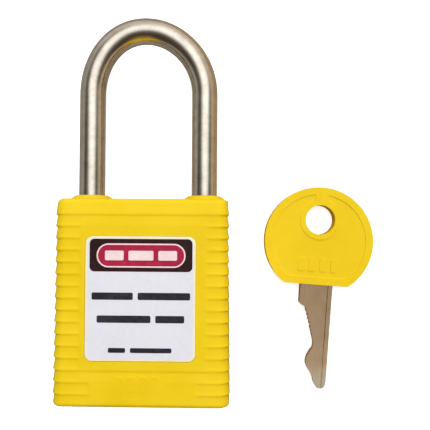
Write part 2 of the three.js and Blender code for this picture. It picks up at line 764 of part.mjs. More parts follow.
function keyHead() {
  const rim = headOutline(
    KEY_HEAD_RADIUS - KEY_RIM_WIDTH,
    KEY_HEAD_CHORD - KEY_RIM_WIDTH,
    KEY_HEAD_CORNER,
  );
  const holeRim = disc(KEY_HOLE_RADIUS + KEY_HOLE_RIM, 0, KEY_HOLE_Y, 24);
  const middle = KEY_HEAD_THICKNESS / 2;
  const slack = BLADE_THICKNESS / 2 + BLADE_CLEARANCE;
  const recess = plate(rim, -CUT, KEY_HEAD_THICKNESS + CUT)
    .subtract(plate(holeRim, -2 * CUT, KEY_HEAD_THICKNESS + 2 * CUT))
    .subtract(
      block(
        [-2 * KEY_HEAD_RADIUS, -2 * KEY_HEAD_RADIUS, KEY_RECESS],
        [2 * KEY_HEAD_RADIUS, 2 * KEY_HEAD_RADIUS, KEY_HEAD_THICKNESS - KEY_RECESS],
      ),
    );
  const socket = block(
    [BLADE_BACK_X - BLADE_BOW_WIDTH - BLADE_CLEARANCE, -KEY_HEAD_CHORD - CUT, middle - slack],
    [BLADE_BACK_X + BLADE_CLEARANCE, BLADE_TOP_Y + BLADE_CLEARANCE, middle + slack],
  );
  const hole = disc(KEY_HOLE_RADIUS, 0, KEY_HOLE_Y, 32);
  const outline = headOutline(KEY_HEAD_RADIUS, KEY_HEAD_CHORD, KEY_HEAD_CORNER);
  return plate(outline, 0, KEY_HEAD_THICKNESS)
    .subtract(recess)
    .subtract(plate(hole, -CUT, KEY_HEAD_THICKNESS + CUT))
    .subtract(socket);
}

// The blade: a straight back, and a cut edge with a shoulder, small teeth, a waist and a belly near the tip
function bladeOutline() {
  const bowX = BLADE_BACK_X - BLADE_BOW_WIDTH;
  const shape = new THREE.Shape();
  shape.moveTo(BLADE_BACK_X, BLADE_TOP_Y);
  shape.lineTo(bowX, BLADE_TOP_Y);
  shape.lineTo(bowX, BLADE_SHOULDER_Y);
  shape.quadraticCurveTo(bowX + 0.1, BLADE_SHOULDER_Y - 0.8, -2.5, BLADE_SHOULDER_Y - 1.1);
  shape.quadraticCurveTo(-1.7, BLADE_SHOULDER_Y - 1.5, ...FIRST_TOOTH);
  for (let tooth = 0; tooth < BLADE_TEETH; tooth += 1) {
    const x = FIRST_TOOTH[0] + tooth * TOOTH_SHIFT[0];
    const y = FIRST_TOOTH[1] + tooth * TOOTH_SHIFT[1];
    shape.lineTo(x + 0.42, y - 0.62);
    shape.lineTo(x + TOOTH_SHIFT[0], y + TOOTH_SHIFT[1]);
  }
  shape.bezierCurveTo(-0.15, -21.6, 0.1, -22.4, 0.3, -23.4);
  shape.bezierCurveTo(0.6, -24.3, 0.65, -25, 0.4, -25.7);
  shape.bezierCurveTo(0, -26.6, -0.87, -27.6, -0.87, -29);
  shape.bezierCurveTo(-0.87, -30.6, 0.5, -31.4, 1, -32.8);
  shape.bezierCurveTo(1.3, -34, 1.9, BLADE_TIP_Y, 2.8, BLADE_TIP_Y);
  shape.quadraticCurveTo(BLADE_BACK_X, BLADE_TIP_Y, BLADE_BACK_X, BLADE_TIP_Y + 1.8);
  shape.closePath();
  return shape;
}

function keyBlade() {
  const low = (KEY_HEAD_THICKNESS - BLADE_THICKNESS) / 2;
  const high = low + BLADE_THICKNESS;
  const grooveLow = BLADE_GROOVE_X - BLADE_GROOVE_WIDTH / 2;
  const grooveHigh = BLADE_GROOVE_X + BLADE_GROOVE_WIDTH / 2;
  return plate(bladeOutline(), low, high)
    .subtract(
      block(
        [grooveLow, BLADE_TIP_Y - CUT, high - BLADE_GROOVE_DEPTH],
        [grooveHigh, -KEY_HEAD_CHORD + CUT, high + CUT],
      ),
    )
    .subtract(
      block(
        [grooveLow - 2, BLADE_TIP_Y - CUT, low - CUT],
        [grooveHigh - 2, -KEY_HEAD_CHORD + CUT, low + BLADE_GROOVE_DEPTH],
      ),
    );
}

function layBeside(solid) {
  return solid.rotate([0, 0, THREE.MathUtils.radToDeg(KEY_TURN)]).translate([KEY_X, KEY_Y, 0]);
}

// ---- assembly ----

add("body_shell", bodyShell(), yellowPlastic());
add("label_plate", labelPlate(), labelFilm());
add("foot_cap", footCap(), yellowPlastic());
add("cap_screw_1", capScrew(1), steel());
add("cap_screw_2", capScrew(-1), steel());
add("shackle", shackle(), steel());
add("shackle_spring", shackleSpring(), springSteel());
add("heel_stop_pin", stopPin(), springSteel());
add("locking_bolt_right", lockingBolt(1), steel());
add("locking_bolt_left", lockingBolt(-1), steel());
add("cam", cam(), steel());
add("spacer_sleeve", spacer(), brass());
add("cylinder_housing", cylinderHousing(), brass());
add("chamber_cover", chamberCover(), brass());
add("plug", plug(), brass());
add("plug_clip", plugClip(), springSteel());
for (let pin = 0; pin < PIN_COUNT; pin += 1) {
  add(`key_pin_${pin + 1}`, keyPin(pin), brass());
  add(`driver_pin_${pin + 1}`, driverPin(pin), brass());
  add(`pin_spring_${pin + 1}`, pinSpring(pin), springSteel());
}
add("key_head", layBeside(keyHead()), yellowPlastic());
add("key_blade", layBeside(keyBlade()), nickelSilver());

export default padlock;
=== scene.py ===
"""Looks of a safety padlock, lying on its back with its key beside it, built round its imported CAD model."""

import json
import math

import bmesh
import bpy
from mathutils import Matrix, Vector

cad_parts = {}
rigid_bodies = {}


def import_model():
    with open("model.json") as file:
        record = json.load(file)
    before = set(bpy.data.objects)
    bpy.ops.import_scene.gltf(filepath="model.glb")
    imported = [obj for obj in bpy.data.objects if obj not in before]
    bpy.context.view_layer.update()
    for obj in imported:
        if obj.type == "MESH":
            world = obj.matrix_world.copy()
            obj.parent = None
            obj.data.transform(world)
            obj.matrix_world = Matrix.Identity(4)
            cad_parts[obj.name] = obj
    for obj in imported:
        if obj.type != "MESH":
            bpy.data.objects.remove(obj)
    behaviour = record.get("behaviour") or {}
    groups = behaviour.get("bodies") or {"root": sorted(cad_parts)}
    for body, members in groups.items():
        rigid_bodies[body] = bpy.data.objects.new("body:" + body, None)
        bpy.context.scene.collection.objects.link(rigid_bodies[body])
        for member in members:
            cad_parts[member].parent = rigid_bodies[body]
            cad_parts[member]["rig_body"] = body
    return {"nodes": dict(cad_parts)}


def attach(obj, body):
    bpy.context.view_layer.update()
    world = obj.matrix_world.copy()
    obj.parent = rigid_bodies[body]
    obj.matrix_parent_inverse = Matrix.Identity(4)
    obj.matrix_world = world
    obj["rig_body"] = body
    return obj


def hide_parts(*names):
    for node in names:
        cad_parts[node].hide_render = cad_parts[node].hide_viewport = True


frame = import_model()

bpy.context.view_layer.update()

MM = 0.001
NODES = frame["nodes"]

# ---- sizes in millimetres, which repeat the CAD model's ----
TOP = 21.8
FOOT = -21.8
DEPTH = 20.0
MIDDLE_Z = 10.0
HALF_WIDTH = 18.6
TAPER = 0.0093
CORNER_RADIUS = 2.6
TOP_ROUNDING = 1.0
FOOT_ROUNDING = 1.0

RIB_COUNT = 16
RIB_PITCH = 2.5
FIRST_STEP_Y = TOP - 3.5
FULL_STEPS = (0, 13)
FOOT_STEPS = (14, 15)
FIELD_X = 0.55
SIDE_STEP_START = 13.55
FOOT_STEP_START = 11.55
STEP_FADE = 0.8
TOP_BAND_LEAN = 0.13
# depth of the steps, half their height, and how late each rib swells: on the flat faces and on the sides
FACE_RIBS = (0.12, 0.34, 3.5)
SIDE_RIBS = (0.32, 0.2, 1.2)
# the skin's rows below each step, and its columns across the flat faces from FIELD_X and up the sides
ROW_DROPS = (-0.5, -0.32, -0.2, -0.14, -0.07, 0, 0.07, 0.14, 0.22, 0.32, 0.6, 1.0, 1.3, 1.6, 1.8)
FACE_COLUMNS = (14.7, 14.2, 13.8, 13.5, 13.2, 12.9, 12.6, 12.2, 11.8, 11.5, 11.2, 10.9, 10.6, 8.0, 4.0, 0.0)
SIDE_COLUMNS = (4.0, 7.0, 10.0, 13.0, 16.0)

LEG_X = 12.8
ROD_RADIUS = 2.9
BEND_Y = 45.9
BEND_RISE = 14.6
BEND_LEAN = -0.7
TOE_END = 9.8
HEEL_END = -10.2
LIFT = 13.4
BOLT_TRAVEL = 3.0
NOTCH_DEPTH = 1.2
NOTCH_TOP = 19.1
NOTCH_FLANK = 14.9
STOP_PIN_Y = 6.5
SLOT_HALF = 1.3
SLOT_DEPTH = 1.4
END_ROUNDING = 0.7

COLLAR_RADIUS = 5.5
COLLAR_LIP_RADIUS = 3.3
COLLAR_HEIGHT = 1.05
LEG_BORE_RADIUS = 3.1
CYLINDER_BORE_RADIUS = 7.3
BOLT_CHANNEL = (14.9, 19.1)
CAP_DEPTH = 2.2
SCREW_X = 10.5
SCREW_Z = 5.2
MARK_COUNT = 4

KEY_X = 40.06
KEY_Y = 12.57
KEY_TURN = math.radians(-4)
HEAD_RADIUS = 12.9
HEAD_THICKNESS = 3.8
HEAD_CHORD = 10.4
HEAD_CORNER = 1.2
HOLE_Y = 5.1
HOLE_RADIUS = 3.5
HOLE_RIM = 1.3
HEAD_RIM = 1.75
RECESS_DEPTH = 0.2
BLADE_THICKNESS = 2.0
BLADE_BACK_X = 4.2
BLADE_BOW_X = -3.5
BLADE_TEETH = 4
FIRST_TOOTH = (-1.65, -17.0)
TOOTH_SHIFT = (0.3, -0.95)
BLADE_TIP_Y = -35.3
GROOVE_WIDTH = 1.0
GROOVE_DEPTH = 0.4
GROOVE_END_Y = -9.4
FRONT_GROOVE_X = 2.2
BACK_GROOVE_X = 0.2

LABEL_X = 0.0
LABEL_Y = 0.9
LABEL_WIDTH = 23.1
LABEL_HEIGHT = 26.0
LABEL_CORNER = 1.6
LABEL_TOP = 20.1
LAYER_STEP = 0.03
LAYER_THICKNESS = 0.025
# the prints: width, height, corner radius and centre
FIELD = (LABEL_WIDTH - 1.0, LABEL_HEIGHT - 0.9, LABEL_CORNER - 0.4, LABEL_X, LABEL_Y)
HEADER = (21.4, 6.8, 1.0, 0.12, 9.95)
BAND_EDGE = (18.5, 5.0, 2.45, 0.14, 9.9)
BAND = (17.9, 4.4, 2.15, 0.14, 9.9)
# the rows of plain bars: centre, height and the bars' widths
BAND_BARS = ((0.14, 9.9), 2.0, (3.9, 5.2, 3.9))
LINE_ONE_BARS = ((0.15, 1.45), 1.5, (8.6, 10.9))
LINE_TWO_BARS = ((0.1, -3.3), 1.5, (11.2, 6.0))
LINE_THREE_BARS = ((0.0, -9.75), 1.0, (3.6, 8.6))
BAR_GAP = 1.0

# ---- the studio, with its places in metres ----
LAMP_AXIS = (0.13, 0.34, 0.93)
LAMP_GLOW = (1.5, 1.47, 1.38)
# how bright the ceiling lamp's glow is, against the cosine of the angle from its axis
LAMP_STOPS = ((0.5, 0.0), (0.74, 0.07), (0.82, 0.25), (0.87, 0.5), (0.93, 0.82), (0.975, 1.0))
DARK_CORNER = (0.07, 0.05, 0.03)
LEFT_WALL = (0.36, 0.35, 0.3)
RIGHT_WALL = (0.6, 0.45, 0.29)
BACK_WALL = (0.72, 0.63, 0.52)
FRONT_WALL = (0.38, 0.22, 0.08)
LEFT_FLOOR = (0.34, 0.32, 0.28)
RIGHT_FLOOR = (0.42, 0.31, 0.2)
FLOOR_HALF = 1.5
FLOOR_DROP = 0.0002
KEY_LIGHT_PLACE = (0.05, 0.29, 0.6)
KEY_LIGHT_TARGET = (0.02, 0.01, 0)
KEY_LIGHT_SIZE = 0.35
KEY_LIGHT_POWER = 2.4
CAMERA_PLACE = (0.01707, 0.01683, 0.12483)
CAMERA_TURN = (0.0153, 0.0155, 0.0064)
CAMERA_LENS = 42.28


# ---- mesh helpers ----

def make_object(name, mesh):
    """An object for a mesh, at the origin."""
    made = bpy.data.objects.new(name, mesh)
    bpy.context.scene.collection.objects.link(made)
    return made


def mesh_from(name, points, faces):
    """A mesh from points in millimetres, with its faces turned outwards."""
    mesh = bpy.data.meshes.new(name)
    mesh.from_pydata([Vector(p) * MM for p in points], [], faces)
    shape = bmesh.new()
    shape.from_mesh(mesh)
    bmesh.ops.remove_doubles(shape, verts=shape.verts, dist=1e-7)
    bmesh.ops.recalc_face_normals(shape, faces=shape.faces)
    shape.to_mesh(mesh)
    shape.free()
    return mesh


def loft(name, rings):
    """A closed mesh through rings of the same number of points, flat at both ends."""
    count = len(rings[0])
    points = [p for ring in rings for p in ring]
    faces = []
    for row in range(len(rings) - 1):
        for i in range(count):
            j = (i + 1) % count
            a, b = row * count, (row + 1) * count
            faces.append((a + i, a + j, b + j, b + i))
    last = (len(rings) - 1) * count
    faces.append(tuple(range(count)))
    faces.append(tuple(last + i for i in range(count)))
    return mesh_from(name, points, faces)


def turned(name, outline, x, z, sides=64):
    """A solid of revolution about a line along Y; outline holds (radius, y) pairs."""
    rings = []
    for radius, y in outline:
        ring = []
        for i in range(sides):
            angle = 2 * math.pi * i / sides
            ring.append((x + radius * math.cos(angle), y, z + radius * math.sin(angle)))
        rings.append(ring)
    return loft(name, rings)


def rod_x(name, radius, start, end, y, sides=32):
    """A round rod along X through the body's middle plane."""
    rings = []
    for x in (start, end):
        ring = []
        for i in range(sides):
            angle = 2 * math.pi * i / sides
            ring.append((x, y + radius * math.cos(angle), MIDDLE_Z + radius * math.sin(angle)))
        rings.append(ring)
    return loft(name, rings)


def block(name, low, high):
    """A block between two corners."""
    rings = []
    for z in (low[2], high[2]):
        rings.append([(low[0], low[1], z), (high[0], low[1], z), (high[0], high[1], z), (low[0], high[1], z)])
    return loft(name, rings)


def arc(x, y, radius, start, end, steps):
    """Points along an arc, both ends included."""
    points = []
    for i in range(steps + 1):
        angle = start + (end - start) * i / steps
        points.append((x + radius * math.cos(angle), y + radius * math.sin(angle)))
    return points


def rounded_rectangle(width, height, radius, x=0.0, y=0.0, steps=8):
    """Points round a rectangle with rounded corners."""
    dx, dy = width / 2 - radius, height / 2 - radius
    centres = ((dx, dy), (-dx, dy), (-dx, -dy), (dx, -dy))
    points = []
    for i, (cx, cy) in enumerate(centres):
        points += arc(x + cx, y + cy, radius, i * math.pi / 2, (i + 1) * math.pi / 2, steps)
    return points


def cut(piece, cutters, operation="DIFFERENCE"):
    """Cuts other meshes out of a piece, or joins them to it, for good."""
    helpers = []
    for i, mesh in enumerate(cutters):
        helper = make_object(f"helper_{i}", mesh)
        modifier = piece.modifiers.new(f"cut_{i}", "BOOLEAN")
        modifier.operation = operation
        modifier.solver = "EXACT"
        modifier.object = helper
        helpers.append(helper)
    bake_modifiers(piece)
    for helper in helpers:
        bpy.data.objects.remove(helper)


def bake_modifiers(piece):
    """Replaces a piece's mesh with what its modifiers make of it."""
    shown = bpy.context.evaluated_depsgraph_get()
    shown.update()
    mesh = bpy.data.meshes.new_from_object(piece.evaluated_get(shown))
    piece.modifiers.clear()
    piece.data = mesh


def merge_facets(mesh):
    """Merges a mesh's double points and the facets that lie in one plane."""
    shape = bmesh.new()
    shape.from_mesh(mesh)
    bmesh.ops.remove_doubles(shape, verts=shape.verts, dist=1e-7)
    bmesh.ops.dissolve_limit(shape, angle_limit=math.radians(0.5), verts=shape.verts, edges=shape.edges)
    shape.to_mesh(mesh)
    shape.free()


def smooth(piece, angle=32):
    """Smooth shading that keeps every edge sharper than an angle crisp."""
    mesh = piece.data
    mesh.polygons.foreach_set("use_smooth", [True] * len(mesh.polygons))
    mesh.set_sharp_from_angle(angle=math.radians(angle))
    weighted = piece.modifiers.new("weighted", "WEIGHTED_NORMAL")
    weighted.keep_sharp = True


def bevel(piece, width, segments=3, angle=40):
    """Rounds the sharp edges of a piece by a width in millimetres."""
    modifier = piece.modifiers.new("bevel", "BEVEL")
    modifier.width = width * MM
    modifier.segments = segments
    modifier.limit_method = "ANGLE"
    modifier.angle_limit = math.radians(angle)
    modifier.miter_outer = "MITER_ARC"
    modifier.use_clamp_overlap = True


def finish_piece(piece, material, body, slot, *nodes):
    """Gives a piece its material and its body, and hides the CAD nodes that it stands for; slot is not used.
    """
    piece.data.materials.clear()
    piece.data.materials.append(material)
    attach(piece, body)
    if nodes:
        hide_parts(*nodes)
    return piece


# ---- materials ----

class Graph:
    """A node tree, with short ways to add the nodes that the materials and the studio share."""

    def __init__(self, tree):
        self.tree = tree

    def add(self, kind, **settings):
        node = self.tree.nodes.new(kind)
        for key, value in settings.items():
            setattr(node, key, value)
        return node

    def link(self, source, target):
        self.tree.links.new(source, target)

    def between(self, value, low, high, start=0.3, end=0.7, easing="LINEAR"):
        """Maps a value from start..end to low..high."""
        node = self.add("ShaderNodeMapRange", interpolation_type=easing)
        node.inputs["From Min"].default_value = start
        node.inputs["From Max"].default_value = end
        node.inputs["To Min"].default_value = low
        node.inputs["To Max"].default_value = high
        self.link(value, node.inputs["Value"])
        return node.outputs["Result"]

    def ramp(self, value, stops):
        """A colour ramp through (position, colour) stops."""
        node = self.add("ShaderNodeValToRGB")
        elements = node.color_ramp.elements
        while len(elements) < len(stops):
            elements.new(0.5)
        for element, (position, color) in zip(elements, stops):
            element.position = position
            element.color = (*color, 1)
        self.link(value, node.inputs["Fac"])
        return node.outputs["Color"]

    def mix(self, share, first, second, kind="MIX"):
        """Mixes two colours, each given as a socket or as three numbers."""
        node = self.add("ShaderNodeMix", data_type="RGBA", blend_type=kind)
        for name, value in (("Factor", share), ("A", first), ("B", second)):
            if isinstance(value, bpy.types.NodeSocket):
                self.link(value, node.inputs[name])
            elif isinstance(value, tuple):
                node.inputs[name].default_value = (*value, 1)
            else:
                node.inputs[name].default_value = value
        return node.outputs["Result"]


class Recipe(Graph):
    """A material's node tree."""

    def __init__(self, name):
        self.material = bpy.data.materials.new(name)
        self.material.use_nodes = True
        super().__init__(self.material.node_tree)
        self.shader = self.tree.nodes["Principled BSDF"]
        self.place = self.add("ShaderNodeTexCoord").outputs["Object"]

    def stretched(self, scale, turn=0.0):
        """The object's own coordinates, scaled unevenly, so that noise on them runs in streaks."""
        mapping = self.add("ShaderNodeMapping")
        mapping.inputs["Scale"].default_value = scale
        mapping.inputs["Rotation"].default_value = (0, 0, turn)
        self.link(self.place, mapping.inputs["Vector"])
        return mapping.outputs["Vector"]

    def noise(self, scale, detail=3.0, roughness=0.5, vector=None):
        """Noise on the object's own coordinates, unless others are given."""
        node = self.add("ShaderNodeTexNoise")
        node.inputs["Scale"].default_value = scale
        node.inputs["Detail"].default_value = detail
        node.inputs["Roughness"].default_value = roughness
        self.link(vector or self.place, node.inputs["Vector"])
        return node.outputs["Fac"]

    def sum(self, *values):
        """The sum of (value, weight) pairs."""
        total = None
        for value, weight in values:
            node = self.add("ShaderNodeMath", operation="MULTIPLY_ADD")
            node.inputs[1].default_value = weight
            self.link(value, node.inputs[0])
            if total is None:
                node.inputs[2].default_value = 0.0
            else:
                self.link(total, node.inputs[2])
            total = node.outputs["Value"]
        return total

    def bump(self, height, distance, strength=1.0):
        node = self.add("ShaderNodeBump")
        node.inputs["Distance"].default_value = distance * MM
        node.inputs["Strength"].default_value = strength
        self.link(height, node.inputs["Height"])
        self.link(node.outputs["Normal"], self.shader.inputs["Normal"])

    def set(self, **values):
        for key, value in values.items():
            self.shader.inputs[key.replace("_", " ")].default_value = value


def moulded_plastic(name, deep, main, pale):
    """Satin moulded nylon: faint cloudy colour, fine spark-eroded grain and a few long pale scuffs."""
    recipe = Recipe(name)
    clouds = recipe.noise(110, 4, 0.55)
    color = recipe.ramp(clouds, ((0.25, deep), (0.5, main), (0.8, pale)))
    scuffs = recipe.noise(1, 2, 0.6, recipe.stretched((260, 2600, 260), 0.5))
    color = recipe.mix(recipe.between(scuffs, 0, 0.6, 0.55, 0.75), color, pale)
    recipe.link(color, recipe.shader.inputs["Base Color"])
    grain = recipe.noise(4200, 2, 0.6)
    marks = recipe.sum((scuffs, 0.5), (clouds, 0.5))
    recipe.link(recipe.between(marks, 0.32, 0.52), recipe.shader.inputs["Roughness"])
    recipe.bump(recipe.sum((grain, 0.7), (recipe.noise(420, 3), 1.0), (scuffs, 0.35)), 0.03, 0.55)
    recipe.set(IOR=1.5, Specular_IOR_Level=0.15)
    return recipe.material


def plated_steel(name):
    """Polished and plated bar: near mirror, with fine drawing lines along it and a faint mottle."""
    recipe = Recipe(name)
    mottle = recipe.noise(330, 5, 0.62)
    shades = ((0.3, (0.56, 0.53, 0.48)), (0.55, (0.69, 0.66, 0.61)), (0.8, (0.76, 0.74, 0.7)))
    color = recipe.ramp(mottle, shades)
    recipe.link(color, recipe.shader.inputs["Base Color"])
    lines = recipe.noise(1, 3, 0.6, recipe.stretched((3800, 120, 3800)))
    pits = recipe.noise(1900, 4, 0.7)
    marks = recipe.sum((lines, 0.5), (mottle, 0.5))
    recipe.link(recipe.between(marks, 0.1, 0.22), recipe.shader.inputs["Roughness"])
    recipe.bump(recipe.sum((lines, 0.5), (pits, 0.8), (mottle, 0.8)), 0.018, 0.6)
    recipe.set(Metallic=1.0)
    return recipe.material


def machined_metal(name, deep, main, pale, painted_sheen=None):
    """Cut or stamped metal with streaks along the cut, cloudy tarnish and small dents.

    The last argument, if given, holds where a painted shade along the object's Y starts and ends, and how
    bright the painted colour is between them, up to a painted sheen.
    """
    recipe = Recipe(name)
    tarnish = recipe.noise(240, 5, 0.6)
    lines = recipe.noise(1, 4, 0.65, recipe.stretched((3600, 90, 3600)))
    color = recipe.ramp(recipe.sum((tarnish, 0.6), (lines, 0.4)), ((0.3, deep), (0.52, main), (0.75, pale)))
    # a painted shade and sheen, as a brightness ramp along the object's Y multiplied into the colour
    if painted_sheen:
        start, end, stops = painted_sheen
        split = recipe.add("ShaderNodeSeparateXYZ")
        recipe.link(recipe.place, split.inputs["Vector"])
        height = recipe.sum((split.outputs["Y"], 1.0), (lines, 3 * MM))
        painted_shading = recipe.ramp(recipe.between(height, 0, 1, start * MM, end * MM), stops)
        color = recipe.mix(1.0, color, painted_shading, "MULTIPLY")
    recipe.link(color, recipe.shader.inputs["Base Color"])
    recipe.link(recipe.between(lines, 0.22, 0.42), recipe.shader.inputs["Roughness"])
    recipe.bump(recipe.sum((lines, 0.8), (recipe.noise(1500, 3), 0.4)), 0.015, 0.6)
    recipe.set(Metallic=1.0)
    return recipe.material


def printed_film(name, deep, main, pale, rough=(0.32, 0.5)):
    """Printed label film: an even ink with a fine dot grain and a slight ripple from the film underneath."""
    recipe = Recipe(name)
    ink = recipe.noise(900, 3, 0.6)
    ripple = recipe.noise(160, 3, 0.5)
    color = recipe.ramp(recipe.sum((ink, 0.5), (ripple, 0.5)), ((0.3, deep), (0.5, main), (0.72, pale)))
    recipe.link(color, recipe.shader.inputs["Base Color"])
    recipe.link(recipe.between(ripple, *rough), recipe.shader.inputs["Roughness"])
    recipe.bump(recipe.sum((ink, 0.3), (ripple, 1.0)), 0.02, 0.3)
    recipe.set(IOR=1.48, Specular_IOR_Level=0.25)
    return recipe.material


YELLOW = moulded_plastic("yellow_nylon", (0.83, 0.595, 0.008), (0.865, 0.632, 0.012), (0.9, 0.67, 0.024))
STEEL = plated_steel("plated_steel")
HARD_STEEL = machined_metal("hardened_steel", (0.2, 0.2, 0.21), (0.36, 0.36, 0.37), (0.5, 0.5, 0.5))
BRASS = machined_metal("machined_brass", (0.42, 0.28, 0.1), (0.66, 0.48, 0.2), (0.8, 0.63, 0.32))
# painted shade and sheen along the blade: how much of the bare metal's colour shows, from its dimmed shoulder
# (0) to its brightened tip (1)
BLADE_SHADE_AND_SHEEN = (
    (0.0, (0.4, 0.29, 0.24)),
    (0.54, (0.57, 0.43, 0.38)),
    (0.79, (0.76, 0.6, 0.54)),
    (1.0, (1.0, 0.93, 0.97)),
)
# where along Y, in millimetres, the blade's painted shade starts and its painted sheen is fullest
BLADE_PAINTED_SHEEN = (4, -20, BLADE_SHADE_AND_SHEEN)
NICKEL = machined_metal("nickel_silver", (0.84, 0.78, 0.58), (1.0, 0.96, 0.72), (1.0, 1.0, 0.9), BLADE_PAINTED_SHEEN)
FILM_EDGE = printed_film("label_edge", (0.9, 0.8, 0.48), (0.94, 0.87, 0.6), (0.97, 0.92, 0.72))
FILM = printed_film("label_film", (0.73, 0.765, 0.88), (0.77, 0.805, 0.92), (0.8, 0.835, 0.94))
BLACK_INK = printed_film("black_ink", (0.014, 0.002, 0.003), (0.022, 0.004, 0.006), (0.04, 0.014, 0.016))
RED_INK = printed_film("red_ink", (0.34, 0.008, 0.05), (0.4, 0.012, 0.06), (0.5, 0.03, 0.085))
WHITE_INK = printed_film("white_ink", (0.86, 0.64, 0.71), (0.92, 0.74, 0.79), (0.96, 0.83, 0.86))
TEXT_INK = printed_film("text_ink", (0.012, 0.011, 0.017), (0.022, 0.02, 0.03), (0.05, 0.048, 0.06))


# ---- body ----

def end_inset(y):
    """How far the skin is drawn in by the roundings of the body's top and foot."""
    inset = 0.0
    for past, radius in ((y - (TOP - TOP_ROUNDING), TOP_ROUNDING), (FOOT + FOOT_ROUNDING - y, FOOT_ROUNDING)):
        if past > 0:
            inset += radius - math.sqrt(max(0.0, radius**2 - past**2))
    return inset


def rib_inset(x, y, sideways):
    """How far the ribs draw the skin in at a point; sideways is 0 on the flat faces and 1 on the sides."""
    depth, half, power = (face + (side - face) * sideways for face, side in zip(FACE_RIBS, SIDE_RIBS))
    down = FIRST_STEP_Y + half - y
    if down < 0:
        return -down * TOP_BAND_LEAN
    step, below = divmod(down, RIB_PITCH)
    if step >= RIB_COUNT:
        return 0.0
    start = FOOT_STEP_START if step in FOOT_STEPS else SIDE_STEP_START
    share = smoothstep((abs(x - FIELD_X) - start + STEP_FADE) / (STEP_FADE + 0.2))
    if step in FULL_STEPS:
        power = 1 + (power - 1) * share
        share = 1.0
    if below < 2 * half:
        return share * depth * smoothstep(below / (2 * half))
    return share * depth * (1 - ((below - 2 * half) / (RIB_PITCH - 2 * half)) ** power)


def smoothstep(value):
    """Eases a value from 0 to 1."""
    value = min(1.0, max(0.0, value))
    return value * value * (3 - 2 * value)


def body_heights():
    """Heights of the skin's rows: close together at the steps and round the ends."""
    heights = []
    for i in range(7):
        turn = math.pi / 2 * i / 6
        heights.append(TOP - TOP_ROUNDING * (1 - math.cos(turn)))
        heights.append(FOOT + FOOT_ROUNDING * (1 - math.cos(turn)))
    for step in range(RIB_COUNT):
        y = FIRST_STEP_Y - step * RIB_PITCH
        heights += [y - drop for drop in ROW_DROPS]
    return sorted(set(round(y, 5) for y in heights if FOOT <= y <= TOP))


def body_ring(y):
    """One row of the skin, as points round the body."""
    half = HALF_WIDTH - TAPER * y
    ring = []

    def place(x, z, normal_x, normal_z):
        inset = end_inset(y) + rib_inset(x, y, abs(normal_x))
        ring.append((x - inset * normal_x, y, z - inset * normal_z))

    def corner(sign_x, sign_z, start):
        centre_x = sign_x * (half - CORNER_RADIUS)
        centre_z = MIDDLE_Z + sign_z * (MIDDLE_Z - CORNER_RADIUS)
        for i in range(13):
            angle = start + math.pi / 2 * i / 12
            c, s = math.cos(angle), math.sin(angle)
            place(centre_x + CORNER_RADIUS * c, centre_z + CORNER_RADIUS * s, c, s)

    across = [FIELD_X + x for x in FACE_COLUMNS]
    across += [FIELD_X - x for x in reversed(FACE_COLUMNS[:-1])]
    corner(1, 1, 0)
    for x in across:
        place(x, DEPTH, 0, 1)
    corner(-1, 1, math.pi / 2)
    for z in reversed(SIDE_COLUMNS):
        place(-half, z, -1, 0)
    corner(-1, -1, math.pi)
    for x in reversed(across):
        place(x, 0, 0, -1)
    corner(1, -1, math.pi * 1.5)
    for z in SIDE_COLUMNS:
        place(half, z, 1, 0)
    return ring


def collar(side):
    """The low cone round a leg, soft at its foot and at its lip."""
    outline = [(COLLAR_RADIUS, TOP - 1.2)]
    sunk = 0.1
    for i in range(13):
        share = i / 12
        radius = COLLAR_RADIUS + (COLLAR_LIP_RADIUS - COLLAR_RADIUS) * share
        outline.append((radius, TOP - sunk + (COLLAR_HEIGHT + sunk) * smoothstep(share)))
    return turned("collar", outline, side * LEG_X, MIDDLE_Z)


def plate_mesh(name, points, low, high):
    """A flat plate over an outline in X and Y."""
    return loft(name, [[(x, y, z) for x, y in points] for z in (low, high)])


def slab_mesh(name, points, bottom, top):
    """A flat slab over an outline in X and Z."""
    return loft(name, [[(x, y, z) for x, z in points] for y in (bottom, top)])


def bore(name, radius, low, high, x, z, sides=64):
    """The cutter for a straight bore along Y."""
    return turned(name, [(radius, low), (radius, high)], x, z, sides)


def body_cutters():
    """The label's recess and every bore and pocket that the lock's inner pieces sit in."""
    gap = 0.04
    size = (LABEL_WIDTH + 2 * gap, LABEL_HEIGHT + 2 * gap, LABEL_CORNER + gap)
    label = rounded_rectangle(*size, LABEL_X, LABEL_Y)
    cap = rounded_rectangle(30.6, 16.0, 3.3, 0, MIDDLE_Z)
    cutters = [
        plate_mesh("label_recess", label, DEPTH - 0.5, DEPTH + 1),
        slab_mesh("cap_recess", cap, FOOT - 1, FOOT + CAP_DEPTH),
        bore("cylinder_bore", CYLINDER_BORE_RADIUS, FOOT - 1.5, 19.3, 0, MIDDLE_Z),
        block("ridge_slot", (0.1, FOOT - 1.2, 6.7), (13.5, 1.3, 13.3)),
        block("bolt_channel", (-LEG_X, BOLT_CHANNEL[0], 7.5), (LEG_X, BOLT_CHANNEL[1], 12.5)),
        bore("heel_bore", LEG_BORE_RADIUS, -17.8, TOP + 2, -LEG_X, MIDDLE_Z),
        bore("toe_bore", LEG_BORE_RADIUS, 9.5, TOP + 2, LEG_X, MIDDLE_Z),
        rod_x("stop_pin_hole", 1.3, -LEG_X, -0.1, STOP_PIN_Y),
    ]
    for side in (1, -1):
        x, z = side * SCREW_X, MIDDLE_Z + side * SCREW_Z
        cutters.append(bore("screw_hole", 1.3, FOOT - 0.5, -13.7, x, z, 24))
    return cutters


def blank_marks():
    """Low, blank tiles moulded near the foot, where a code could go."""
    marks = []
    for i in range(MARK_COUNT):
        points = rounded_rectangle(1.7, 3.2, 0.45, -4.4 + 2.55 * i, -16.9, 5)
        marks.append(plate_mesh("mark", points, DEPTH - 0.4, DEPTH + 0.13))
    return marks


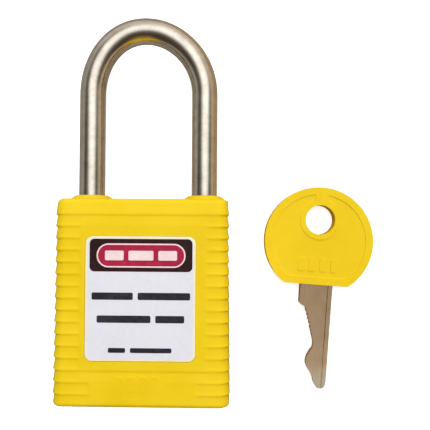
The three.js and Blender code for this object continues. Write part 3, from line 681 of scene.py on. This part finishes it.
def make_body():
    """The moulded body: its ribbed skin, collars and marks, bored out for the lock's inside."""
    body = make_object("body_moulding", loft("body_moulding", [body_ring(y) for y in body_heights()]))
    cut(body, [collar(1), collar(-1), *blank_marks()], "UNION")
    cut(body, body_cutters())
    smooth(body)
    return finish_piece(body, YELLOW, "lock_body", "yellow_plastic", "body_shell")


# ---- label ----

def layer(name, points, level, material):
    """One printed layer of the label, as a thin plate at a level in the stack of prints."""
    low = LABEL_TOP + 0.005 + level * LAYER_STEP
    piece = make_object(name, plate_mesh(name, points, low, low + LAYER_THICKNESS))
    smooth(piece)
    return finish_piece(piece, material, "lock_body", "label_film")


def make_label():
    """The label's sheet, and the prints on it."""
    outline = rounded_rectangle(LABEL_WIDTH, LABEL_HEIGHT, LABEL_CORNER, LABEL_X, LABEL_Y, 12)
    sheet = make_object("label_sheet", plate_mesh("label_sheet", outline, LABEL_TOP - 0.5, LABEL_TOP))
    bevel(sheet, 0.2)
    bake_modifiers(sheet)
    smooth(sheet)
    finish_piece(sheet, FILM_EDGE, "lock_body", "label_film", "label_plate")

    layer("label_field", rounded_rectangle(*FIELD, 12), 0, FILM)
    layer("label_header", rounded_rectangle(*HEADER, 12), 1, BLACK_INK)
    layer("label_band_edge", rounded_rectangle(*BAND_EDGE, 20), 2, WHITE_INK)
    layer("label_band", rounded_rectangle(*BAND, 20), 3, RED_INK)
    make_bars("band_bar", BAND_BARS, 4, WHITE_INK)
    make_bars("line_one_bar", LINE_ONE_BARS, 1, TEXT_INK)
    make_bars("line_two_bar", LINE_TWO_BARS, 1, TEXT_INK)
    make_bars("line_three_bar", LINE_THREE_BARS, 1, TEXT_INK)


def make_bars(name, row, level, material):
    """A row of plain bars about a centre, which stand for a line of wording and spell nothing."""
    centre, height, widths = row
    x = centre[0] - (sum(widths) + BAR_GAP * (len(widths) - 1)) / 2
    for i, width in enumerate(widths):
        points = rounded_rectangle(width, height, 0.3, x + width / 2, centre[1], 6)
        layer(f"{name}_{i + 1}", points, level, material)
        x += width + BAR_GAP


# ---- shackle ----

def rod_ring(x, y, direction, radius, sides=72):
    """Points round a rod whose centre is at (x, y) and which runs along direction."""
    across = Vector((direction[1], -direction[0], 0))
    ring = []
    for i in range(sides):
        angle = 2 * math.pi * i / sides
        side = across * (radius * math.cos(angle))
        ring.append((x + side.x, y + side.y, MIDDLE_Z + radius * math.sin(angle)))
    return ring


def leg_heights(end, top):
    """Rows of a leg from its rounded end up to the bend."""
    rows = []
    for i in range(6):
        turn = math.pi / 2 * i / 5
        y = end + END_ROUNDING * (1 - math.cos(turn))
        rows.append((y, ROD_RADIUS - END_ROUNDING * (1 - math.sin(turn))))
    length = top - end - END_ROUNDING
    rows += [(end + END_ROUNDING + length * i / 12, ROD_RADIUS) for i in range(1, 12)]
    return rows


def notch(side):
    """The cutter for a bolt notch, whose lower flank slopes as the bolt passes the rising leg."""
    floor = LEG_X - ROD_RADIUS + NOTCH_DEPTH
    outside = floor - NOTCH_DEPTH - 1
    drop = (floor - outside) * LIFT / BOLT_TRAVEL
    points = [
        (side * outside, NOTCH_TOP),
        (side * outside, NOTCH_FLANK - drop),
        (side * floor, NOTCH_FLANK),
        (side * floor, NOTCH_TOP),
    ]
    return plate_mesh("notch", points, MIDDLE_Z - 4, MIDDLE_Z + 4)


def bend_rings():
    """Rows round the bend, from the heel leg over to the toe leg; the bend leans a little to one side."""
    rings = []
    for i in range(65):
        turn = math.pi * (1 - i / 64)
        c, s = math.cos(turn), math.sin(turn)
        x = LEG_X * c + BEND_LEAN * s * s
        y = BEND_Y + BEND_RISE * s
        direction = Vector((LEG_X * s - 2 * BEND_LEAN * s * c, -BEND_RISE * c)).normalized()
        rings.append(rod_ring(x, y, direction, ROD_RADIUS))
    return rings


def neck_cutter(lowest):
    """The ring cut round the heel leg, so that the raised shackle could turn on the stop pin."""
    core_radius = ROD_RADIUS - SLOT_DEPTH
    ring = make_object("neck_ring", bore("neck", 4, lowest, lowest + 2 * SLOT_HALF, -LEG_X, MIDDLE_Z))
    cut(ring, [bore("core", core_radius, lowest - 1, lowest + 2 * SLOT_HALF + 1, -LEG_X, MIDDLE_Z)])
    mesh = ring.data.copy()
    bpy.data.objects.remove(ring)
    return mesh


def make_shackle():
    """The bent bar, with its bolt notches and the heel leg's slot and neck."""
    rings = [rod_ring(-LEG_X, y, (0, 1), radius) for y, radius in leg_heights(HEEL_END, BEND_Y)]
    rings += bend_rings()
    rings += [rod_ring(LEG_X, y, (0, -1), radius) for y, radius in reversed(leg_heights(TOE_END, BEND_Y))]
    shackle = make_object("shackle_bar", loft("shackle_bar", rings))
    floor = -LEG_X + ROD_RADIUS - SLOT_DEPTH
    lowest = STOP_PIN_Y - LIFT - SLOT_HALF
    low = (floor, lowest, MIDDLE_Z - SLOT_HALF)
    high = (floor + 2.4, STOP_PIN_Y + SLOT_HALF, MIDDLE_Z + SLOT_HALF)
    cut(shackle, [notch(1), notch(-1), block("slot", low, high), neck_cutter(lowest)])
    smooth(shackle)
    return finish_piece(shackle, STEEL, "shackle_rod", "polished_steel", "shackle")


# ---- key ----

def head_outline(inset):
    """The head's outline, drawn in by an inset: most of a circle, closed by a chord with rounded ends."""
    radius, chord = HEAD_RADIUS - inset, HEAD_CHORD - inset
    corner = max(0.35, HEAD_CORNER - inset)
    inner = radius - corner
    corner_y = -chord + corner
    corner_x = math.sqrt(inner**2 - corner_y**2)
    meets = math.atan2(corner_y, corner_x)
    points = arc(0, 0, radius, meets, math.pi - meets, 120)
    points += arc(-corner_x, corner_y, corner, math.pi - meets, math.pi * 1.5, 10)[1:]
    points += arc(corner_x, corner_y, corner, math.pi * 1.5, math.pi * 2 + meets, 10)[:-1]
    return points


def lay_beside(piece):
    """Puts a piece made round the key head's centre in its place beside the body."""
    piece.data.transform(Matrix.Translation((KEY_X * MM, KEY_Y * MM, 0)) @ Matrix.Rotation(KEY_TURN, 4, "Z"))


def key_recess(low, high):
    """The shallow dish inside the head's rim, kept clear of the hole's rim and of the web above it."""
    dish = make_object("dish", plate_mesh("dish", head_outline(HEAD_RIM), low, high))
    rim = arc(0, HOLE_Y, HOLE_RADIUS + HOLE_RIM, 0, 2 * math.pi, 64)[:-1]
    web = rounded_rectangle(3.0, 5.0, 0.6, 0, HOLE_Y + 5.2)
    cut(dish, [plate_mesh("rim", rim, low - 1, high + 1), plate_mesh("web", web, low - 1.5, high + 1.5)])
    mesh = dish.data.copy()
    bpy.data.objects.remove(dish)
    return mesh


def make_key_head():
    """The moulded head: a rim round a shallow recess on each face, low marks and the blade's socket."""
    head = make_object("key_grip", plate_mesh("key_grip", head_outline(0), 0, HEAD_THICKNESS))
    hole = arc(0, HOLE_Y, HOLE_RADIUS, 0, 2 * math.pi, 72)[:-1]
    cutters = [
        key_recess(HEAD_THICKNESS - RECESS_DEPTH, HEAD_THICKNESS + 1),
        key_recess(-1, RECESS_DEPTH),
        plate_mesh("hole", hole, -1.5, HEAD_THICKNESS + 1.5),
    ]
    cut(head, cutters)
    marks = []
    for i in range(MARK_COUNT):
        points = rounded_rectangle(1.6, 3.2, 0.4, -3.8 + 2.6 * i, -5.7, 5)
        marks.append(plate_mesh("mark", points, HEAD_THICKNESS - 1, HEAD_THICKNESS - 0.03))
    cut(head, marks, "UNION")
    merge_facets(head.data)
    bevel(head, 0.22, 4, 50)
    bake_modifiers(head)
    gap = 0.15
    middle = HEAD_THICKNESS / 2
    half = BLADE_THICKNESS / 2 + gap
    low = (BLADE_BOW_X - gap, -11.4, middle - half)
    high = (BLADE_BACK_X + gap, -4.85, middle + half)
    cut(head, [block("socket", low, high)])
    merge_facets(head.data)
    smooth(head)
    lay_beside(head)
    return finish_piece(head, YELLOW, "loose_key", "yellow_plastic", "key_head")


def bezier(start, first, second, end, steps):
    """Points along a cubic curve, without its first point."""
    points = []
    for i in range(1, steps + 1):
        t = i / steps
        weights = ((1 - t) ** 3, 3 * t * (1 - t) ** 2, 3 * t * t * (1 - t), t**3)
        pairs = list(zip(weights, (start, first, second, end)))
        points.append((sum(w * p[0] for w, p in pairs), sum(w * p[1] for w, p in pairs)))
    return points


def blade_outline():
    """The blade: a straight back, and a cut edge with a shoulder, small teeth, a waist and a belly."""
    points = [(BLADE_BACK_X, -5), (BLADE_BOW_X, -5), (BLADE_BOW_X, -14.6)]
    points += bezier(points[-1], (BLADE_BOW_X, -15.3), (-3.1, -15.4), (-2.5, -15.7), 8)
    points += bezier(points[-1], (-1.9, -16.0), (-1.65, -16.3), FIRST_TOOTH, 8)
    for tooth in range(BLADE_TEETH):
        x = FIRST_TOOTH[0] + tooth * TOOTH_SHIFT[0]
        y = FIRST_TOOTH[1] + tooth * TOOTH_SHIFT[1]
        points += [(x + 0.42, y - 0.62), (x + TOOTH_SHIFT[0], y + TOOTH_SHIFT[1])]
    curves = (
        ((-0.15, -21.6), (0.1, -22.4), (0.3, -23.4)),
        ((0.6, -24.3), (0.65, -25.0), (0.4, -25.7)),
        ((0.0, -26.6), (-0.87, -27.6), (-0.87, -29.0)),
        ((-0.87, -30.6), (0.5, -31.4), (1.0, -32.8)),
        ((1.3, -34.0), (1.9, BLADE_TIP_Y), (2.8, BLADE_TIP_Y)),
        ((3.7, BLADE_TIP_Y), (BLADE_BACK_X, -34.6), (BLADE_BACK_X, -33.4)),
    )
    for first, second, end in curves:
        points += bezier(points[-1], first, second, end, 8)
    return points


def make_key_blade():
    """The cut blade, with a groove milled along each face."""
    low = (HEAD_THICKNESS - BLADE_THICKNESS) / 2
    high = low + BLADE_THICKNESS
    blade = make_object("key_shank", plate_mesh("key_shank", blade_outline(), low, high))
    sides = (
        (FRONT_GROOVE_X, high - GROOVE_DEPTH, high + 1),
        (BACK_GROOVE_X, low - 1, low + GROOVE_DEPTH),
    )
    grooves = []
    for x, bottom, top in sides:
        grooves.append(block("groove", (x, BLADE_TIP_Y - 1.7, bottom), (x + GROOVE_WIDTH, GROOVE_END_Y, top)))
    cut(blade, grooves)
    bevel(blade, 0.1, 2, 35)
    bake_modifiers(blade)
    smooth(blade)
    lay_beside(blade)
    return finish_piece(blade, NICKEL, "loose_key", "nickel_silver", "key_blade")


# ---- inner pieces ----

def refined(node, edge, material, slot):
    """A copy of a CAD node with its facets merged, its edges eased and its faces shaded smoothly."""
    source = NODES[node]
    mesh = source.data.copy()
    merge_facets(mesh)
    piece = make_object(f"{node}_piece", mesh)
    if edge:
        bevel(piece, edge, 2, 35)
        bake_modifiers(piece)
    smooth(piece, 35)
    return finish_piece(piece, material, source["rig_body"], slot, node)


def make_inner_pieces():
    """Every piece that the body hides or nearly hides."""
    pins = range(1, 6)
    groups = (
        (("foot_cap",), 0.08, YELLOW, "yellow_plastic"),
        (("cap_screw_1", "cap_screw_2"), 0.05, STEEL, "polished_steel"),
        (("locking_bolt_right", "locking_bolt_left", "cam"), 0.08, HARD_STEEL, "polished_steel"),
        (("heel_stop_pin", "plug_clip"), 0.05, HARD_STEEL, "spring_steel"),
        (("shackle_spring", *(f"pin_spring_{i}" for i in pins)), 0, HARD_STEEL, "spring_steel"),
        (("spacer_sleeve", "cylinder_housing", "chamber_cover", "plug"), 0.06, BRASS, "brass"),
        (tuple(f"{kind}_pin_{i}" for kind in ("key", "driver") for i in pins), 0, BRASS, "brass"),
    )
    for nodes, edge, material, slot in groups:
        for node in nodes:
            refined(node, edge, material, slot)


# ---- stage ----

def make_floor():
    """A pale matt surface under the object: white to the camera, and a dim warm grey to all else."""
    corners = [(x * FLOOR_HALF, y * FLOOR_HALF, 0) for x, y in ((-1, -1), (1, -1), (1, 1), (-1, 1))]
    mesh = bpy.data.meshes.new("floor")
    mesh.from_pydata(corners, [], [(0, 1, 2, 3)])
    floor = make_object("floor", mesh)
    floor.location.z = -FLOOR_DROP
    recipe = Recipe("pale_floor")
    color = recipe.ramp(recipe.noise(30, 3), ((0.3, (0.84, 0.84, 0.84)), (0.7, (0.87, 0.87, 0.87))))
    split = recipe.add("ShaderNodeSeparateXYZ")
    recipe.link(recipe.place, split.inputs["Vector"])
    dim = recipe.mix(recipe.between(split.outputs["X"], 0, 1, -0.01, 0.02), LEFT_FLOOR, RIGHT_FLOOR)
    seen = recipe.add("ShaderNodeLightPath").outputs["Is Camera Ray"]
    recipe.link(recipe.mix(seen, dim, color), recipe.shader.inputs["Base Color"])
    recipe.link(recipe.between(seen, 0, 0.75, 0, 1), recipe.shader.inputs["Emission Strength"])
    recipe.shader.inputs["Emission Color"].default_value = (1, 1, 1, 1)
    recipe.set(Roughness=0.9, Specular_IOR_Level=0.0)
    mesh.materials.append(recipe.material)


def make_key_light():
    """A square soft light that no reflection shows."""
    data = bpy.data.lights.new("key_light", "AREA")
    data.shape = "SQUARE"
    data.size = KEY_LIGHT_SIZE
    data.energy = KEY_LIGHT_POWER
    light = make_object("key_light", data)
    light.location = KEY_LIGHT_PLACE
    aim = Vector(KEY_LIGHT_TARGET) - Vector(KEY_LIGHT_PLACE)
    light.rotation_euler = aim.to_track_quat("-Z", "Y").to_euler()
    light.visible_camera = False
    light.visible_glossy = False


def make_world():
    """Soft studio light: a glowing ceiling lamp, a dark ring beside it and dim walls with tints."""
    world = bpy.data.worlds.new("studio")
    world.use_nodes = True
    graph = Graph(world.node_tree)
    background = graph.tree.nodes["Background"]
    direction = graph.add("ShaderNodeTexCoord").outputs["Generated"]

    def along(axis):
        """How far the direction points along an axis: 1 along it, 0 square to it."""
        node = graph.add("ShaderNodeVectorMath", operation="DOT_PRODUCT")
        node.inputs[1].default_value = Vector(axis).normalized()
        graph.link(direction, node.inputs[0])
        return node.outputs["Value"]

    def share(axis, start, end):
        """Rises smoothly from 0 to 1 as the direction's part along an axis goes from start to end."""
        return graph.between(along(axis), 0, 1, start, end, "SMOOTHSTEP")

    glow = graph.ramp(along(LAMP_AXIS), [(place, (level, level, level)) for place, level in LAMP_STOPS])
    sides = graph.mix(share((1, 0, 0), -0.6, 0.6), LEFT_WALL, RIGHT_WALL)
    walls = graph.mix(share((0, 1, 0), 0.45, 0.85), sides, BACK_WALL)
    ring = graph.mix(share((0, -0.3, 1), 0.25, 0.6), walls, DARK_CORNER)
    room = graph.mix(share((0, 1, 0), -0.7, -1.0), ring, FRONT_WALL)
    glow = graph.mix(1.0, glow, LAMP_GLOW, "MULTIPLY")
    graph.link(graph.mix(1.0, room, glow, "ADD"), background.inputs["Color"])
    bpy.context.scene.world = world


def make_camera():
    """The camera looks almost straight down at the padlock from a little over its right shoulder."""
    data = bpy.data.cameras.new("camera")
    data.sensor_width = 36
    data.lens = CAMERA_LENS
    data.clip_start = 0.005
    camera = make_object("camera", data)
    camera.location = CAMERA_PLACE
    camera.rotation_euler = CAMERA_TURN
    bpy.context.scene.camera = camera


def make_stage():
    """The floor, the light and the camera."""
    make_floor()
    make_world()
    make_key_light()
    make_camera()
    bpy.context.scene.view_settings.view_transform = "Standard"


make_body()
make_label()
make_shackle()
make_key_head()
make_key_blade()
make_inner_pieces()
make_stage()

bpy.context.view_layer.update()
